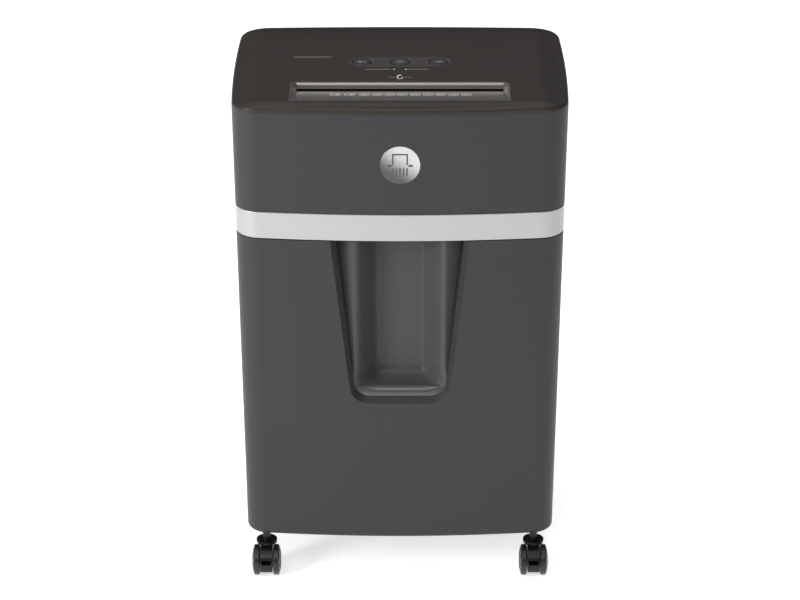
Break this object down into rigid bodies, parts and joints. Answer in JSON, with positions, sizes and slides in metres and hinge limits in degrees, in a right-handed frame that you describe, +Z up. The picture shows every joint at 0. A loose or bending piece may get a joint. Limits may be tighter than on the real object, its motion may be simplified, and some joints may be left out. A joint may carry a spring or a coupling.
{
  "type": "paper shredder",
  "caption": "Tall office paper shredder on twin-wheel casters: cutting head with feed slot and buttons over a pull-out waste bin with a deep grip recess.",
  "frame": {"origin": "on the floor, at the middle of the cabinet's width and depth", "axes": "+Z up, +X to the right of a user who faces the front, +Y towards the back"},
  "size_m": [0.362, 0.268, 0.5705],
  "materials": {
    "lid_plastic": "fine satin, warm near-black",
    "body_plastic": "fine satin, dark neutral grey",
    "silver_trim": "silver lacquer",
    "badge_metal": "brushed bright badge",
    "slot_plastic": "polished dark insert",
    "panel_plastic": "smooth dark panel",
    "button_plastic": "smooth dark key caps",
    "smoked_insert": "glossy smoked plastic",
    "tub_plastic": "moulded black",
    "frame_plastic": "moulded black structure",
    "switch_plastic": "glossy black",
    "lens": "translucent light pipe",
    "board": "green solder mask",
    "plate_steel": "zinc plated sheet",
    "cutter_steel": "hardened and oiled",
    "gear_steel": "sintered gear steel",
    "bush_bronze": "sintered bronze",
    "comb_plastic": "glass-filled black",
    "motor_can": "plated motor can",
    "fan_plastic": "natural nylon",
    "screw_steel": "black zinc screws",
    "caster_plastic": "black nylon",
    "wheel_plastic": "hard black tread",
    "axle_steel": "bright axle"
  },
  "bodies": {
    "cabinet": {"top_cover": "lid_plastic", "entry_guide": "slot_plastic", "button_panel": "panel_plastic", "control_board": "board", "indicator_lenses": "lens", "head_shell": "body_plastic", "emblem_badge": "badge_metal", "silver_band": "silver_trim", "head_base": "frame_plastic", "head_screws": "screw_steel", "power_switch_frame": "switch_plastic", "inlet_gland": "switch_plastic", "side_plate_left": "plate_steel", "side_plate_right": "plate_steel", "tie_rods": "plate_steel", "shaft_bushes": "bush_bronze", "stripper_comb_front": "comb_plastic", "stripper_comb_rear": "comb_plastic", "gear_pins": "axle_steel", "gear_plate": "plate_steel", "motor_body": "motor_can", "interlock_switch": "switch_plastic", "cabinet_shell": "body_plastic", "cabinet_base": "frame_plastic", "caster_sockets": "frame_plastic"},
    "bin": {"bin_front_panel": "body_plastic", "grip_insert": "smoked_insert", "bin_tub": "tub_plastic", "bin_screws": "screw_steel", "interlock_tab": "tub_plastic"},
    "sensor_lever": {"sensor_lever": "comb_plastic"},
    "button_reverse": {"button_reverse": "button_plastic"},
    "button_auto": {"button_auto": "button_plastic"},
    "button_forward": {"button_forward": "button_plastic"},
    "power_rocker": {"power_rocker": "switch_plastic"},
    "interlock_plunger": {"interlock_plunger": "fan_plastic"},
    "cutter_rear": {"cutter_shaft_rear": "cutter_steel", "cutter_discs_rear": "cutter_steel", "cutter_gear_rear": "gear_steel", "drive_gear": "gear_steel"},
    "cutter_front": {"cutter_shaft_front": "cutter_steel", "cutter_discs_front": "cutter_steel", "cutter_gear_front": "gear_steel"},
    "idler_low": {"idler_gear_low": "gear_steel"},
    "idler_high": {"idler_gear_high": "gear_steel"},
    "motor_rotor": {"motor_rotor": "gear_steel", "motor_fan": "fan_plastic"},
    "caster_front_left": {"caster_fork_front_left": "caster_plastic", "caster_axle_front_left": "axle_steel"},
    "wheels_front_left": {"caster_wheels_front_left": "wheel_plastic"},
    "caster_front_right": {"caster_fork_front_right": "caster_plastic", "caster_axle_front_right": "axle_steel"},
    "wheels_front_right": {"caster_wheels_front_right": "wheel_plastic"},
    "caster_rear_left": {"caster_fork_rear_left": "caster_plastic", "caster_axle_rear_left": "axle_steel"},
    "wheels_rear_left": {"caster_wheels_rear_left": "wheel_plastic"},
    "caster_rear_right": {"caster_fork_rear_right": "caster_plastic", "caster_axle_rear_right": "axle_steel"},
    "wheels_rear_right": {"caster_wheels_rear_right": "wheel_plastic"}
  },
  "joints": [
    {"name": "bin_slide", "type": "slide", "parent": "cabinet", "child": "bin", "axis": [0, -1, 0], "range_m": [0, 0.24]},
    {"name": "sensor_tilt", "type": "hinge", "parent": "cabinet", "child": "sensor_lever", "pos_m": [0, -0.0475, 0.549], "axis": [1, 0, 0], "range_deg": [0, 25], "stiffness_Nm_per_rad": 0.001, "springref_deg": -17.19},
    {"name": "button_reverse_press", "type": "slide", "parent": "cabinet", "child": "button_reverse", "axis": [0, 0, -1], "range_m": [0, 0.0015], "stiffness_N_per_m": 400, "springref_m": -0.001},
    {"name": "button_auto_press", "type": "slide", "parent": "cabinet", "child": "button_auto", "axis": [0, 0, -1], "range_m": [0, 0.0015], "stiffness_N_per_m": 400, "springref_m": -0.001},
    {"name": "button_forward_press", "type": "slide", "parent": "cabinet", "child": "button_forward", "axis": [0, 0, -1], "range_m": [0, 0.0015], "stiffness_N_per_m": 400, "springref_m": -0.001},
    {"name": "power_rocker_tilt", "type": "hinge", "parent": "cabinet", "child": "power_rocker", "pos_m": [-0.085, 0.12681, 0.48], "axis": [1, 0, 0], "range_deg": [0, 16]},
    {"name": "interlock_plunger_drop", "type": "slide", "parent": "cabinet", "child": "interlock_plunger", "axis": [0, 0, -1], "range_m": [0, 0.0025]},
    {"name": "cutter_rear_spin", "type": "hinge", "parent": "cabinet", "child": "cutter_rear", "pos_m": [0, -0.04275, 0.5], "axis": [1, 0, 0], "continuous": true},
    {"name": "cutter_front_spin", "type": "hinge", "parent": "cabinet", "child": "cutter_front", "pos_m": [0, -0.08075, 0.5], "axis": [1, 0, 0], "continuous": true},
    {"name": "idler_low_spin", "type": "hinge", "parent": "cabinet", "child": "idler_low", "pos_m": [0, -0.00274, 0.4817], "axis": [1, 0, 0], "continuous": true},
    {"name": "idler_high_spin", "type": "hinge", "parent": "cabinet", "child": "idler_high", "pos_m": [0, 0.03328, 0.5033], "axis": [1, 0, 0], "continuous": true},
    {"name": "motor_spin", "type": "hinge", "parent": "cabinet", "child": "motor_rotor", "pos_m": [0, 0.0633, 0.4853], "axis": [1, 0, 0], "continuous": true},
    {"name": "caster_front_left_swivel", "type": "hinge", "parent": "cabinet", "child": "caster_front_left", "pos_m": [-0.151, -0.105, 0.052], "axis": [0, 0, 1], "continuous": true},
    {"name": "wheels_front_left_roll", "type": "hinge", "parent": "caster_front_left", "child": "wheels_front_left", "pos_m": [-0.151, -0.116, 0.0175], "axis": [1, 0, 0], "continuous": true},
    {"name": "caster_front_right_swivel", "type": "hinge", "parent": "cabinet", "child": "caster_front_right", "pos_m": [0.151, -0.105, 0.052], "axis": [0, 0, 1], "continuous": true},
    {"name": "wheels_front_right_roll", "type": "hinge", "parent": "caster_front_right", "child": "wheels_front_right", "pos_m": [0.151, -0.116, 0.0175], "axis": [1, 0, 0], "continuous": true},
    {"name": "caster_rear_left_swivel", "type": "hinge", "parent": "cabinet", "child": "caster_rear_left", "pos_m": [-0.151, 0.105, 0.052], "axis": [0, 0, 1], "continuous": true},
    {"name": "wheels_rear_left_roll", "type": "hinge", "parent": "caster_rear_left", "child": "wheels_rear_left", "pos_m": [-0.151, 0.094, 0.0175], "axis": [1, 0, 0], "continuous": true},
    {"name": "caster_rear_right_swivel", "type": "hinge", "parent": "cabinet", "child": "caster_rear_right", "pos_m": [0.151, 0.105, 0.052], "axis": [0, 0, 1], "continuous": true},
    {"name": "wheels_rear_right_roll", "type": "hinge", "parent": "caster_rear_right", "child": "wheels_rear_right", "pos_m": [0.151, 0.094, 0.0175], "axis": [1, 0, 0], "continuous": true}
  ],
  "couplings": [
    {"joint": "cutter_front_spin", "follows": "cutter_rear_spin", "ratio": -1},
    {"joint": "idler_low_spin", "follows": "cutter_rear_spin", "ratio": -2.6667},
    {"joint": "idler_high_spin", "follows": "cutter_rear_spin", "ratio": 8},
    {"joint": "motor_spin", "follows": "cutter_rear_spin", "ratio": -32},
    {"joint": "interlock_plunger_drop", "follows": "bin_slide", "ratio": 0.010417}
  ]
}
